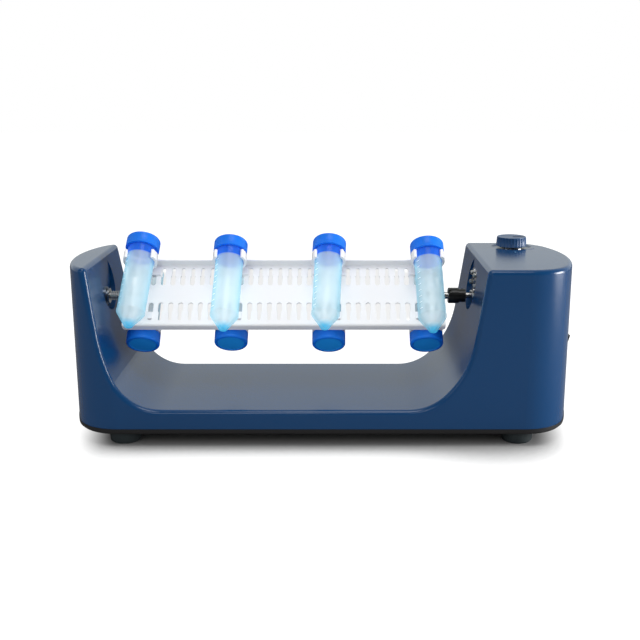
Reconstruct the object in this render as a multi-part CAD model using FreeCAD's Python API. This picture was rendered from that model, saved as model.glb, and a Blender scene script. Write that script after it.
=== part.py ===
import FreeCAD, Part

import math
import os

from FreeCAD import Vector

# Bench tube rotator: a slotted plate carries eight 50 ml tubes between two towers and turns
# about the X axis. Millimetres, +Z up, +X towards the motor tower, the front faces -Y.
# Every shape is built about the middle of the housing and moved to the origin when it is saved.

X_AXIS = Vector(1, 0, 0)
Y_AXIS = Vector(0, 1, 0)
Z_AXIS = Vector(0, 0, 1)

# Housing plan and heights
body_length = 500.0
body_depth = 166.0
end_radius = 150.0
corner_radius = 45.0
foot_height = 12.0
plate_thickness = 5.5
slab_height = 18.5
tower_above_axis = 41.5
wall = 3.5
edge_radius = 4.5

# U-shaped opening: each side is a tight arc, a wide arc and a leaning wall up to its tower
left_tower_width = 27.9
right_tower_width = 93.0
opening_left_radius = 48.0
opening_left_wall_radius = 170.0
opening_left_blend_deg = 25.0
opening_right_radius = 50.0
opening_right_wall_radius = 95.0
opening_right_blend_deg = 45.0
opening_lean_deg = 8.5

# Rotor axis and plate
axis_height = 132.0
rotor_tilt_deg = 43.0
rotor_left_gap = 20.7
rotor_right_gap = 31.7
rotor_sheet = 1.5
rotor_face_height = 73.4
rotor_flange = 9.2
rotor_bend_radius = 1.0
rotor_corner_radius = 3.5
rotor_offset = 1.5

# Keyhole slots
slot_pitch = 10.0
slot_end_margin = 7.5
slot_inner = 10.2
slot_step = 20.9
slot_outer = 30.9
slot_wide = 5.1
slot_narrow = 3.4

# Tubes and caps
tube_diameter = 28.8
tube_wall = 1.3
tube_top = 43.7
tube_cone_start = -40.0
tube_cone_end = -56.2
tube_tip_radius = 4.2
tube_end_margin = 17.5
tube_inner_gaps = (90.0, 100.0)
front_slip = (3.8, 0.0, 1.3, -1.7)
rear_slip = (-0.9, -2.2, -0.9, -0.9)
cap_diameter = 34.0
cap_height = 12.2
cap_lid = 2.0
cap_skirt_clearance = 0.25
cap_flange_gap = 0.55
cap_rib_count = 30
cap_rib_depth = 0.45
cap_dish_depth = 0.6
cap_dish_margin = 3.6

# Tube clips
clip_length = 9.0
clip_centre = 26.6
clip_wall = 2.5
clip_wrap_deg = 33.0
clip_clearance = 0.15
clip_foot_width = 34.0
clip_foot_thickness = 2.2
clip_web_width = 16.0
clip_hook_span = 20.0
clip_hook_neck = 3.0
clip_hook_neck_length = 6.0
clip_hook_head = 4.6
clip_hook_head_length = 7.6
clip_hook_thickness = 1.2
hook_play = 0.1

# Drive side
release_travel = 3.5
stub_diameter = 7.0
release_clearance = 0.2
stub_tongue = 22.0
stub_clearance = 0.1
stub_screw_first = 6.0
stub_screw_pitch = 10.0
coupling_gap = 4.4
coupling_large_diameter = 16.0
coupling_large_length = 10.5
coupling_small_diameter = 13.8
coupling_small_length = 7.0
coupling_socket_depth = 7.0
coupling_slot_width = 2.3
coupling_slot_depth = 3.2
coupling_chamfer = 0.6
drive_pin_diameter = 2.0
drive_pin_length = 14.0
drive_pin_seat_gap = 0.06
shaft_diameter = 6.0
shaft_flat_depth = 0.5
shaft_clearance = 0.02
shaft_socket_depth = 8.6
grub_diameter = 3.0
grub_hole_clearance = 0.02

# Pockets in the inner walls of the towers, gearhead and motor
pocket_radius = 26.0
pocket_rise = 12.0
left_pocket_depth = 1.1
right_pocket_depth = 0.6
pocket_rim = 3.5
pocket_floor = 4.6
gearhead_diameter = 50.0
gearhead_plate_thickness = 2.0
gearhead_length = 26.0
motor_diameter = 36.0
motor_length = 34.0
motor_cap_diameter = 30.0
motor_cap_length = 6.0
terminal_width = 2.8
terminal_length = 7.0
terminal_thickness = 0.8
terminal_spacing = 16.0
motor_screw_circle = 27.0
motor_screw_step_deg = 50.0
motor_screw_diameter = 3.0
motor_screw_head = 5.0
motor_screw_head_height = 3.0
motor_screw_length = 9.0
motor_washer_diameter = 9.6
motor_washer_thickness = 0.9
clearance_hole = 0.2

# Idler side
idler_diameter = 6.0
idler_bore_clearance = 0.03
bush_head_diameter = 18.4
bush_head_length = 2.0
bush_nose_diameter = 11.0
bush_nose_length = 1.5
bush_shank_diameter = 10.0
bush_shank_length = 10.0
bush_nut_flats = 15.0
bush_nut_length = 4.0
spring_washer_diameter = 15.5
spring_washer_thickness = 1.2
idler_collar_diameter = 11.0
idler_collar_length = 3.0
idler_tail = 11.5
spring_diameter = 9.5
spring_wire = 0.9
spring_turns = 6.5

# Speed knob and its potentiometer
knob_end_inset = 48.5
knob_side_inset = 29.0
knob_diameter = 32.0
knob_top_diameter = 30.6
knob_height = 10.0
knob_lift = 2.3
knob_skirt_wall = 2.4
knob_top_thickness = 2.6
knob_rib_count = 30
knob_rib_depth = 0.5
knob_hub_diameter = 11.0
knob_line_width = 1.6
knob_line_depth = 0.5
dish_radius = 21.5
dish_floor_radius = 19.0
dish_depth = 1.2
pot_body_diameter = 16.5
pot_body_length = 9.0
pot_bush_diameter = 7.0
pot_bush_rise = 2.6
pot_shaft_diameter = 6.0
pot_nut_flats = 10.0
pot_nut_height = 1.6
pot_washer_diameter = 25.0
pot_washer_thickness = 0.6

# Rocker switch on the right end
switch_height = 84.0
switch_seat_depth = 0.6
switch_flange_height = 21.0
switch_flange_width = 15.0
switch_flange_thickness = 2.0
switch_body_height = 19.0
switch_body_width = 12.8
switch_body_depth = 16.0
switch_frame = 1.6
switch_well_depth = 6.0
rocker_play = 0.35
rocker_tilt_deg = 8.0
rocker_crown = 4.2
rocker_pivot_depth = 1.4
rocker_pin_diameter = 2.0
rocker_pin_clearance = 0.03
rocker_pin_engagement = 1.0

# Power inlet on the back of the motor tower
inlet_end_inset = 50.0
inlet_height = 52.0
inlet_flange_diameter = 12.0
inlet_flange_thickness = 1.4
inlet_body_diameter = 8.0
inlet_body_length = 15.0
inlet_bore = 6.2
inlet_bore_depth = 10.0
inlet_pin_diameter = 2.0
inlet_nut_flats = 11.0
inlet_nut_length = 2.5

# Base plate, feet and fasteners
base_overhang = 0.5
base_chamfer = 2.2
base_screw_diameter = 3.0
base_screw_head = 6.0
base_screw_head_height = 1.8
base_screw_length = 14.0
boss_diameter = 9.0
boss_edge_inset = 7.4
base_screw_left_inset = 100.0
base_screw_right_inset = 65.0
base_screw_rows = 4
foot_diameter = 32.0
foot_tip_diameter = 30.0
foot_end_inset = 56.5
foot_side_inset = 21.0
foot_recess_diameter = 13.0
foot_recess_depth = 6.0
foot_edge_radius = 1.2
foot_screw_diameter = 4.0
foot_screw_head = 8.0
foot_screw_head_height = 2.6
foot_screw_length = 10.0

# Speed control board
board_length = 62.0
board_width = 44.0
board_thickness = 1.6
board_end_inset = 55.0
board_standoff = 7.0
board_standoff_diameter = 5.5
board_hole_margin = 4.0
board_screw_diameter = 3.0
board_screw_head = 5.5
board_screw_head_height = 2.0
capacitor_diameter = 10.0
capacitor_height = 16.0
terminal_block = (15.0, 8.0, 10.0)
heat_sink = (18.0, 10.0, 15.0)
heat_sink_fins = 5
capacitor_place = (-14.0, 8.0)
terminal_block_left = -20.0
terminal_block_margin = 1.0
heat_sink_place = (4.0, 2.0)
heat_sink_web = 2.5

# Heights and places worked out from the sizes
plate_bottom = foot_height
shell_bottom = plate_bottom + plate_thickness
slab_top = shell_bottom + slab_height
tower_top = axis_height + tower_above_axis
half_length = body_length / 2
half_depth = body_depth / 2
end_centre_x = half_length - end_radius
corner_centre_y = half_depth - corner_radius
corner_reach = math.sqrt((end_radius - corner_radius) ** 2 - corner_centre_y ** 2)
corner_centre_x = end_centre_x + corner_reach
corner_angle = math.atan2(corner_centre_y, corner_reach)
lean = math.radians(opening_lean_deg)
opening_left = left_tower_width - half_length
opening_right = half_length - right_tower_width

left_floor = opening_left + left_pocket_depth
right_floor = opening_right - right_pocket_depth
plate_left = left_floor + rotor_left_gap
plate_right = right_floor - rotor_right_gap
rotor_length = plate_right - plate_left
rotor_centre_x = (plate_left + plate_right) / 2
coupling_left = plate_right + coupling_gap
coupling_step = coupling_left + coupling_large_length
coupling_right = coupling_step + coupling_small_length
pocket_z = axis_height + pocket_rise
pocket_run = 2 * pocket_radius
gearhead_left = right_floor + pocket_floor
gearhead_right = gearhead_left + gearhead_length
motor_right = gearhead_right + motor_length
bush_face = left_floor + bush_head_length
washer_left = bush_face + bush_nose_length
washer_right = washer_left + spring_washer_thickness
collar_left = plate_left - idler_collar_length
spring_length = collar_left - washer_right
dish_floor = tower_top - dish_depth
knob_x = half_length - knob_end_inset
knob_y = half_depth - knob_side_inset
inlet_x = half_length - inlet_end_inset
board_x = half_length - board_end_inset
foot_x = half_length - foot_end_inset
foot_y = half_depth - foot_side_inset
switch_seat = half_length - switch_seat_depth
switch_face = switch_seat + switch_flange_thickness
footprint_shift = -(switch_face + rocker_crown - half_length - base_overhang) / 2


def save(node, shape):
    """Write one piece, moved so that the origin is the middle of the whole footprint."""
    placed = shape.copy()
    placed.translate(Vector(footprint_shift, 0, 0))
    placed.exportStep(f"parts/{node}.step")


def box(x_range, y_range, z_range):
    size = [high - low for low, high in (x_range, y_range, z_range)]
    return Part.makeBox(*size, Vector(x_range[0], y_range[0], z_range[0]))


def rod_x(diameter, x_start, x_end, y=0.0, z=0.0):
    return Part.makeCylinder(diameter / 2, x_end - x_start, Vector(x_start, y, z), X_AXIS)


def rod_y(diameter, y_start, y_end, x=0.0, z=0.0):
    return Part.makeCylinder(diameter / 2, y_end - y_start, Vector(x, y_start, z), Y_AXIS)


def rod_z(diameter, z_start, z_end, x=0.0, y=0.0):
    return Part.makeCylinder(diameter / 2, z_end - z_start, Vector(x, y, z_start), Z_AXIS)


def hexagon(flats, length):
    """Hexagonal prism on the Z axis, standing on z = 0."""
    corner = flats / math.sqrt(3)
    points = [Vector(corner * math.cos(k * math.pi / 3), corner * math.sin(k * math.pi / 3), 0)
              for k in range(7)]
    return Part.Face(Part.makePolygon(points)).extrude(Vector(0, 0, length))


def aim_x(shape, x, y=0.0, z=0.0):
    """Turn a shape built on the Z axis so that it runs along +X from the given point."""
    turned = shape.copy()
    turned.rotate(Vector(), Y_AXIS, 90)
    turned.translate(Vector(x, y, z))
    return turned


def polygon_face(points):
    return Part.Face(Part.makePolygon(points + [points[0]]))


def turned_profile(outline):
    """Solid of revolution about Z from (radius, height) corners."""
    points = [Vector(radius, 0, height) for radius, height in outline]
    return polygon_face(points).revolve(Vector(), Z_AXIS, 360)


def fused(shapes):
    result = shapes[0]
    if len(shapes) > 1:
        result = result.fuse(shapes[1:])
    return result.removeSplitter()


def group(shapes):
    return Part.makeCompound(shapes)


def rotor_placed(shape):
    """Move a shape from the upright rotor frame to the plate's resting tilt on its axis."""
    placed = shape.copy()
    placed.rotate(Vector(), X_AXIS, -rotor_tilt_deg)
    placed.translate(Vector(0, 0, axis_height))
    return placed


def pan_head_screw(diameter, length, head, head_height, drive):
    """Screw along -Z from the underside of its head at z = 0, with a hexagon socket on top."""
    shank = rod_z(diameter, -length, 0)
    top = turned_profile([(0, 0), (head / 2, 0), (head / 2, head_height * 0.55),
                          (head * 0.3, head_height), (0, head_height)])
    socket = hexagon(drive, head_height)
    socket.translate(Vector(0, 0, head_height * 0.45))
    return shank.fuse(top).removeSplitter().cut(socket)


def countersunk_screw(diameter, length, head, head_height, drive):
    """Flat-headed screw along +Z whose face lies on z = 0."""
    screw = turned_profile([(0, 0), (head / 2, 0), (diameter / 2, head_height),
                            (diameter / 2, length), (0, length)])
    return screw.cut(hexagon(drive, head_height * 0.6))


# Plan outline of the housing: two flat sides joined at each end by corner, end and corner arcs

def plan_face(inset, z):
    side = half_depth - inset
    corner = corner_radius - inset
    end = end_radius - inset
    middle = (math.pi / 2 + corner_angle) / 2

    def point(x, y):
        return Vector(x, y, z)

    def half_end(sign):
        start = point(sign * corner_centre_x, side)
        bend = point(sign * (corner_centre_x + corner * math.cos(middle)),
                     corner_centre_y + corner * math.sin(middle))
        join = point(sign * (corner_centre_x + corner * math.cos(corner_angle)),
                     corner_centre_y + corner * math.sin(corner_angle))
        nose = point(sign * (end_centre_x + end), 0)
        return start, bend, join, nose

    edges = []
    for sign in (1, -1):
        start, bend, join, nose = half_end(sign)
        low = [point(p.x, -p.y) for p in (start, bend, join)]
        edges.append(Part.Arc(start, bend, join).toShape())
        edges.append(Part.Arc(join, nose, low[2]).toShape())
        edges.append(Part.Arc(low[2], low[1], low[0]).toShape())
    for y in (side, -side):
        edges.append(Part.makeLine(point(-corner_centre_x, y), point(corner_centre_x, y)))
    return Part.Face(Part.Wire(Part.__sortEdges__(edges)))


def opening_side(top_x, radius, wall_radius, blend_deg, grow):
    """Right-hand outline of the opening: wall top, then pairs of a mid point and an end for its two arcs."""
    blend = math.radians(blend_deg)
    tangent_z = slab_top + radius * (1 - math.sin(blend)) + wall_radius * (math.sin(blend) - math.sin(lean))
    tangent_x = top_x - (tower_top - tangent_z) * math.tan(lean)
    wide_x = tangent_x - wall_radius * math.cos(lean)
    wide_z = tangent_z + wall_radius * math.sin(lean)
    tight_x = wide_x + (wall_radius - radius) * math.cos(blend)

    def on_arc(x, z, reach, angle):
        return Vector(x + (reach + grow) * math.cos(angle), 0, z - (reach + grow) * math.sin(angle))

    tangent = on_arc(wide_x, wide_z, wall_radius, lean)
    above = tower_top + edge_radius
    return [Vector(tangent.x + (above - tangent.z) * math.tan(lean), 0, above), tangent,
            on_arc(wide_x, wide_z, wall_radius, (lean + blend) / 2),
            on_arc(wide_x, wide_z, wall_radius, blend),
            on_arc(tight_x, slab_top + radius, radius, (blend + math.pi / 2) / 2),
            on_arc(tight_x, slab_top + radius, radius, math.pi / 2)]


def opening_prism(grow):
    """The U-shaped gap between the towers, widened by grow and run past both sides."""
    right = opening_side(opening_right, opening_right_radius, opening_right_wall_radius,
                         opening_right_blend_deg, grow)
    left = opening_side(-opening_left, opening_left_radius, opening_left_wall_radius,
                        opening_left_blend_deg, grow)
    left = [Vector(-p.x, 0, p.z) for p in left]
    edges = [Part.makeLine(left[0], right[0]), Part.makeLine(right[5], left[5])]
    for side in (left, right):
        edges.append(Part.makeLine(side[0], side[1]))
        edges.append(Part.Arc(side[1], side[2], side[3]).toShape())
        edges.append(Part.Arc(side[3], side[4], side[5]).toShape())
    face = Part.Face(Part.Wire(Part.__sortEdges__(edges)))
    face.translate(Vector(0, -body_depth, 0))
    return face.extrude(Vector(0, 2 * body_depth, 0))


def outer_form():
    """Outside of the housing: plan outline, U gap, and rounded upper edges."""
    blank = plan_face(0, shell_bottom).extrude(Vector(0, 0, tower_top - shell_bottom))
    blank = blank.cut(opening_prism(0))
    rounded = []
    for edge in blank.Edges:
        heights = [vertex.Z for vertex in edge.Vertexes]
        direction = edge.tangentAt((edge.FirstParameter + edge.LastParameter) / 2)
        on_top = min(heights) > tower_top - 0.01
        across = abs(direction.y) > 0.999 or abs(direction.z) > 0.999
        if on_top or (min(heights) > shell_bottom + 0.01 and not across):
            rounded.append(edge)
    return blank.makeFillet(edge_radius, rounded)


def base_screw_points():
    """Screw places in plan: one boss against each end wall and rows along both sides."""
    end = half_length - boss_edge_inset
    side = half_depth - boss_edge_inset
    points = [(-end, 0.0), (end, 0.0)]
    first = base_screw_left_inset - half_length
    pitch = (half_length - base_screw_right_inset - first) / (base_screw_rows - 1)
    for x in [first + k * pitch for k in range(base_screw_rows)]:
        points.extend([(x, -side), (x, side)])
    return points


def motor_screw_points():
    """Three screws each side of the gearhead, the middle ones level with its centre."""
    radius = motor_screw_circle / 2
    points = []
    for middle in (0, 180):
        for k in (-1, 0, 1):
            angle = math.radians(middle + k * motor_screw_step_deg)
            points.append((radius * math.cos(angle), pocket_z + radius * math.sin(angle)))
    return points


def housing():
    outer = outer_form()
    inner = plan_face(wall, shell_bottom - 1).extrude(Vector(0, 0, tower_top - wall - shell_bottom + 1))
    inner = inner.cut(opening_prism(wall))
    shell = outer.cut(inner)

    pads = [rod_x(2 * (pocket_radius + pocket_rim), right_floor - pocket_run, gearhead_left, 0, pocket_z),
            rod_x(2 * (pocket_radius + pocket_rim), left_floor - pocket_floor, left_floor + pocket_run, 0, pocket_z)]
    boss_top = slab_top - wall / 2
    for x, y in base_screw_points():
        pads.append(rod_z(boss_diameter, shell_bottom, boss_top, x, y))
    pads.append(rod_y(inlet_flange_diameter + 2 * wall, half_depth - 2 * wall, half_depth, inlet_x, inlet_height))
    shell = fused([shell] + [pad.common(outer) for pad in pads])

    cuts = [rod_x(2 * pocket_radius, right_floor - pocket_run, right_floor, 0, pocket_z),
            rod_x(2 * pocket_radius, left_floor, left_floor + pocket_run, 0, pocket_z),
            rod_x(shaft_diameter + 6, right_floor - 1, gearhead_left + 1, 0, axis_height),
            rod_x(bush_shank_diameter, left_floor - pocket_floor - 1, left_floor + 1, 0, axis_height)]
    for y, z in motor_screw_points():
        cuts.append(rod_x(motor_screw_diameter + 2 * clearance_hole, right_floor - 1, gearhead_left + 1, y, z))
    for x, y in base_screw_points():
        cuts.append(rod_z(base_screw_diameter, shell_bottom - 1, boss_top - wall / 2, x, y))
    cuts.append(knob_dish())
    cuts.append(rod_z(pot_bush_diameter, tower_top - wall - 1, tower_top, knob_x, knob_y))
    cuts.append(switch_cut())
    cuts.append(rod_y(inlet_flange_diameter, half_depth - inlet_flange_thickness, half_depth + 1,
                      inlet_x, inlet_height))
    cuts.append(rod_y(inlet_body_diameter, half_depth - 3 * wall, half_depth, inlet_x, inlet_height))
    return shell.cut(cuts)


def knob_dish():
    """Shallow dish with a sloping rim that the knob stands in."""
    dish = turned_profile([(0, 0), (dish_floor_radius, 0), (dish_radius, dish_depth),
                           (dish_radius, dish_depth + 1), (0, dish_depth + 1)])
    dish.translate(Vector(knob_x, knob_y, dish_floor))
    return dish


def switch_cut():
    """Flat seat for the switch flange and the hole for its body in the right end wall."""
    seat = box((switch_seat, half_length + 1),
               (-switch_flange_width / 2 - 0.4, switch_flange_width / 2 + 0.4),
               (switch_height - switch_flange_height / 2 - 0.4, switch_height + switch_flange_height / 2 + 0.4))
    hole = box((half_length - 3 * wall, half_length),
               (-switch_body_width / 2, switch_body_width / 2),
               (switch_height - switch_body_height / 2, switch_height + switch_body_height / 2))
    return seat.fuse(hole)


def base_plate():
    plate = plan_face(-base_overhang, plate_bottom).extrude(Vector(0, 0, plate_thickness))
    lower = [edge for edge in plate.Edges if edge.BoundBox.ZMax < plate_bottom + 0.01]
    plate = plate.makeChamfer(base_chamfer, lower)
    cuts = []
    for x, y in base_screw_points():
        cuts.append(turned_profile([(0, -1), (base_screw_head / 2, -1), (base_screw_head / 2, 0),
                                    (base_screw_diameter / 2, base_screw_head_height),
                                    (base_screw_diameter / 2, plate_thickness + 1),
                                    (0, plate_thickness + 1)]))
        cuts[-1].translate(Vector(x, y, plate_bottom))
    for x, y in foot_points():
        cuts.append(rod_z(foot_screw_diameter, plate_bottom - 1, shell_bottom + 1, x, y))
    return plate.cut(cuts)


def base_screws():
    """Countersunk screws into the housing bosses and pan screws up through the feet."""
    screws = []
    for x, y in base_screw_points():
        screw = countersunk_screw(base_screw_diameter, base_screw_length, base_screw_head,
                                  base_screw_head_height, 2.0)
        screw.translate(Vector(x, y, plate_bottom))
        screws.append(screw)
    for x, y in foot_points():
        screw = pan_head_screw(foot_screw_diameter, foot_screw_length, foot_screw_head,
                               foot_screw_head_height, 2.5)
        screw.rotate(Vector(), X_AXIS, 180)
        screw.translate(Vector(x, y, foot_recess_depth))
        screws.append(screw)
    return group(screws)


def foot_points():
    return [(-foot_x, -foot_y), (foot_x, -foot_y), (-foot_x, foot_y), (foot_x, foot_y)]


def foot(x, y):
    """Round rubber foot, hollowed from below for its screw."""
    shape = turned_profile([(foot_recess_diameter / 2, 0),
                            (foot_tip_diameter / 2 - foot_edge_radius, 0),
                            (foot_tip_diameter / 2, foot_edge_radius),
                            (foot_diameter / 2, foot_height),
                            (foot_screw_diameter / 2, foot_height),
                            (foot_screw_diameter / 2, foot_recess_depth),
                            (foot_recess_diameter / 2, foot_recess_depth)])
    shape.translate(Vector(x, y, 0))
    return shape


# Gearhead and motor behind the pocket of the right tower

def gearhead_case():
    front = rod_x(gearhead_diameter, gearhead_left, gearhead_left + gearhead_plate_thickness, 0, pocket_z)
    body = rod_x(gearhead_diameter - 2, gearhead_left, gearhead_right, 0, pocket_z)
    case = fused([front, body])
    cuts = [rod_x(shaft_diameter + 0.04, gearhead_left - 1, gearhead_left + 16, 0, axis_height)]
    for y, z in motor_screw_points():
        cuts.append(rod_x(motor_screw_diameter, gearhead_left - 1, gearhead_left + motor_screw_length, y, z))
    return case.cut(cuts)


def motor_can():
    can = rod_x(motor_diameter, gearhead_right, motor_right, 0, pocket_z)
    rims = [edge for edge in can.Edges if edge.BoundBox.XMin > motor_right - 0.01]
    return can.makeFillet(1.5, rims)


def motor_end_cap():
    cap = rod_x(motor_cap_diameter, motor_right, motor_right + motor_cap_length, 0, pocket_z)
    slots = []
    for side in (-1, 1):
        y = side * terminal_spacing / 2
        slots.append(box((motor_right + 1, motor_right + motor_cap_length + 1),
                         (y - terminal_thickness / 2, y + terminal_thickness / 2),
                         (pocket_z - terminal_width / 2, pocket_z + terminal_width / 2)))
    return cap.cut(slots)


def motor_terminals():
    left = motor_right + 1
    tags = []
    for side in (-1, 1):
        y = side * terminal_spacing / 2
        tag = box((left, motor_right + motor_cap_length + terminal_length),
                  (y - terminal_thickness / 2, y + terminal_thickness / 2),
                  (pocket_z - terminal_width / 2, pocket_z + terminal_width / 2))
        tags.append(tag.cut(rod_y(1.2, y - 1, y + 1, motor_right + motor_cap_length + 4, pocket_z)))
    return group(tags)


def motor_screws():
    screws = []
    for y, z in motor_screw_points():
        screw = pan_head_screw(motor_screw_diameter, motor_screw_length, motor_screw_head,
                               motor_screw_head_height, 2.0)
        screw.rotate(Vector(), Y_AXIS, -90)
        screw.translate(Vector(right_floor - motor_washer_thickness, y, z))
        screws.append(screw)
    return group(screws)


def motor_washers():
    washers = []
    for y, z in motor_screw_points():
        disc = rod_x(motor_washer_diameter, right_floor - motor_washer_thickness, right_floor, y, z)
        hole = rod_x(motor_screw_diameter + 2 * clearance_hole, right_floor - 2, right_floor + 1, y, z)
        washers.append(disc.cut(hole))
    return group(washers)


def drive_shaft():
    """Gearhead output shaft with a flat for the coupling's grub screw."""
    start = coupling_right - shaft_socket_depth
    shaft = rod_x(shaft_diameter, start, gearhead_left + 15, 0, axis_height)
    flat = box((start - 1, coupling_right + 1), (-shaft_diameter, shaft_diameter),
               (axis_height + shaft_diameter / 2 - shaft_flat_depth, axis_height + shaft_diameter))
    return shaft.cut(flat)


def coupling():
    """Stepped black coupling: socket and cross slot for the rotor, bore for the shaft."""
    large = coupling_large_diameter / 2
    small = coupling_small_diameter / 2
    total = coupling_right - coupling_left
    body = turned_profile([(0, 0), (large - coupling_chamfer, 0), (large, coupling_chamfer),
                           (large, coupling_large_length), (small, coupling_large_length),
                           (small, total), (0, total)])
    body = aim_x(body, coupling_left, 0, axis_height)
    cuts = [rod_x(stub_diameter + 2 * stub_clearance, coupling_left - 1,
                  coupling_left + coupling_socket_depth, 0, axis_height),
            rod_x(shaft_diameter + 2 * shaft_clearance, coupling_right - shaft_socket_depth,
                  coupling_right + 1, 0, axis_height),
            rod_z(grub_diameter + 2 * grub_hole_clearance, axis_height, axis_height + large,
                  grub_x(), 0)]
    slot = box((coupling_left - 1, coupling_left + coupling_slot_depth), (-large - 1, large + 1),
               (-coupling_slot_width / 2, coupling_slot_width / 2))
    slot.rotate(Vector(), X_AXIS, -rotor_tilt_deg)
    slot.translate(Vector(0, 0, axis_height))
    return body.cut(cuts + [slot])


def grub_x():
    return coupling_step + coupling_small_length / 2


def grub_screw():
    bottom = axis_height + shaft_diameter / 2 - shaft_flat_depth
    top = axis_height + coupling_small_diameter / 2 - 0.4
    screw = rod_z(grub_diameter, bottom, top, grub_x(), 0)
    socket = hexagon(1.5, 2)
    socket.translate(Vector(grub_x(), 0, top - 1.5))
    return screw.cut(socket)


# Rotor, built upright: the plate's height runs along Z and its front faces -Y

rotor_front = -(rotor_offset + rotor_sheet)
rotor_back = -rotor_offset
rotor_middle = (rotor_front + rotor_back) / 2
tube_axis_gap = rotor_flange - rotor_sheet / 2 + cap_flange_gap + cap_diameter / 2


def flanged_sheet():
    """Z-shaped bent sheet: top flange forward, bottom flange back."""
    half = rotor_face_height / 2
    bend = rotor_bend_radius
    outer = bend + rotor_sheet

    def upper():
        front = -rotor_sheet / 2
        back = rotor_sheet / 2
        tip = back - rotor_flange
        inside = half - rotor_sheet
        start = Vector(0, front, 0)
        points = [start, Vector(0, front, inside - bend)]
        rise = bend * math.sin(math.pi / 4)
        inner_mid = Vector(0, front - bend + rise, inside - bend + rise)
        inner_end = Vector(0, front - bend, inside)
        reach = outer * math.sin(math.pi / 4)
        outer_mid = Vector(0, front - bend + reach, inside - bend + reach)
        edges = [Part.makeLine(points[0], points[1]),
                 Part.Arc(points[1], inner_mid, inner_end).toShape(),
                 Part.makeLine(inner_end, Vector(0, tip, inside)),
                 Part.makeLine(Vector(0, tip, inside), Vector(0, tip, half)),
                 Part.makeLine(Vector(0, tip, half), Vector(0, front - bend, half)),
                 Part.Arc(Vector(0, front - bend, half), outer_mid,
                          Vector(0, back, inside - bend)).toShape(),
                 Part.makeLine(Vector(0, back, inside - bend), Vector(0, back, 0)),
                 Part.makeLine(Vector(0, back, 0), start)]
        return Part.Face(Part.Wire(edges)).extrude(Vector(rotor_length, 0, 0))

    top = upper()
    bottom = top.copy()
    bottom.rotate(Vector(), X_AXIS, 180)
    sheet = fused([top, bottom])
    sheet.translate(Vector(plate_left, 0, 0))
    return sheet


def keyhole():
    """One keyhole, wide end towards the axis, cut right through the sheet."""
    wide = slot_wide / 2
    narrow = slot_narrow / 2
    depth = rotor_sheet + 1
    low = slot_inner + wide
    high = slot_outer - narrow
    edges = [Part.Arc(Vector(-wide, 0, low), Vector(0, 0, slot_inner), Vector(wide, 0, low)).toShape(),
             Part.makeLine(Vector(wide, 0, low), Vector(wide, 0, slot_step)),
             Part.makeLine(Vector(wide, 0, slot_step), Vector(narrow, 0, slot_step)),
             Part.makeLine(Vector(narrow, 0, slot_step), Vector(narrow, 0, high)),
             Part.Arc(Vector(narrow, 0, high), Vector(0, 0, slot_outer), Vector(-narrow, 0, high)).toShape(),
             Part.makeLine(Vector(-narrow, 0, high), Vector(-narrow, 0, slot_step)),
             Part.makeLine(Vector(-narrow, 0, slot_step), Vector(-wide, 0, slot_step)),
             Part.makeLine(Vector(-wide, 0, slot_step), Vector(-wide, 0, low))]
    cut = Part.Face(Part.Wire(edges)).extrude(Vector(0, depth, 0))
    cut.translate(Vector(0, -depth / 2, 0))
    return cut


def slot_places():
    count = int((rotor_length - 2 * slot_end_margin) / slot_pitch) + 1
    first = rotor_centre_x - (count - 1) * slot_pitch / 2
    return [first + k * slot_pitch for k in range(count)]


def stub_screw_places():
    """Screws through the plate into the two stub shafts, as (x, side) from each end."""
    places = []
    for k in range(2):
        inset = stub_screw_first + k * stub_screw_pitch
        places.append(plate_left + inset)
        places.append(plate_right - inset)
    return places


def flange_corner_cut(x, sign):
    """Takes the sharp corner off the free end of the top flange."""
    radius = rotor_corner_radius
    tip = rotor_sheet / 2 - rotor_flange
    block = box((-radius, 1), (tip - 1, tip + radius), (rotor_face_height / 2 - 3, rotor_face_height / 2 + 1))
    round_off = rod_z(2 * radius, rotor_face_height / 2 - 4, rotor_face_height / 2 + 2, -radius, tip + radius)
    cut = block.cut(round_off)
    if sign < 0:
        cut = cut.mirror(Vector(), X_AXIS)
    cut.translate(Vector(x, 0, 0))
    return cut


def rotor_plate():
    sheet = flanged_sheet()
    cuts = []
    for x in slot_places():
        upper = keyhole()
        lower = keyhole()
        lower.rotate(Vector(), X_AXIS, 180)
        for slot in (upper, lower):
            slot.translate(Vector(x, 0, 0))
            cuts.append(slot)
    for x, sign in ((plate_left, -1), (plate_right, 1)):
        top = flange_corner_cut(x, sign)
        bottom = top.copy()
        bottom.rotate(Vector(), X_AXIS, 180)
        cuts.extend([top, bottom])
    for x in stub_screw_places():
        cuts.append(rod_y(3.2, -rotor_sheet, rotor_sheet, x, 0))
    sheet = sheet.cut(cuts)
    sheet.translate(Vector(0, rotor_middle, 0))
    return rotor_placed(sheet)


def stub_tongue_cut(x_start, x_end):
    """Everything in front of the plate's back face, where the stub's tongue lies flat."""
    return box((x_start, x_end), (-stub_diameter, rotor_back), (-stub_diameter, stub_diameter))


def stub_screw_holes():
    return [rod_y(2.5, -stub_diameter, stub_diameter, x, 0) for x in stub_screw_places()]


def drive_stub():
    """Right stub shaft: tongue behind the plate, round nose with a cross hole for its pin."""
    end = coupling_left + release_travel - release_clearance
    stub = rod_x(stub_diameter, plate_right - stub_tongue, end)
    stub = stub.cut([stub_tongue_cut(plate_right - stub_tongue - 1, plate_right)] + stub_screw_holes()
                    + [rod_y(drive_pin_diameter, -stub_diameter, stub_diameter, drive_pin_x(), 0)])
    return rotor_placed(stub)


def drive_pin_x():
    return coupling_left + coupling_slot_depth - drive_pin_diameter / 2 - drive_pin_seat_gap


def drive_pin():
    half = drive_pin_length / 2
    return rotor_placed(rod_y(drive_pin_diameter, -half, half, drive_pin_x(), 0))


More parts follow.
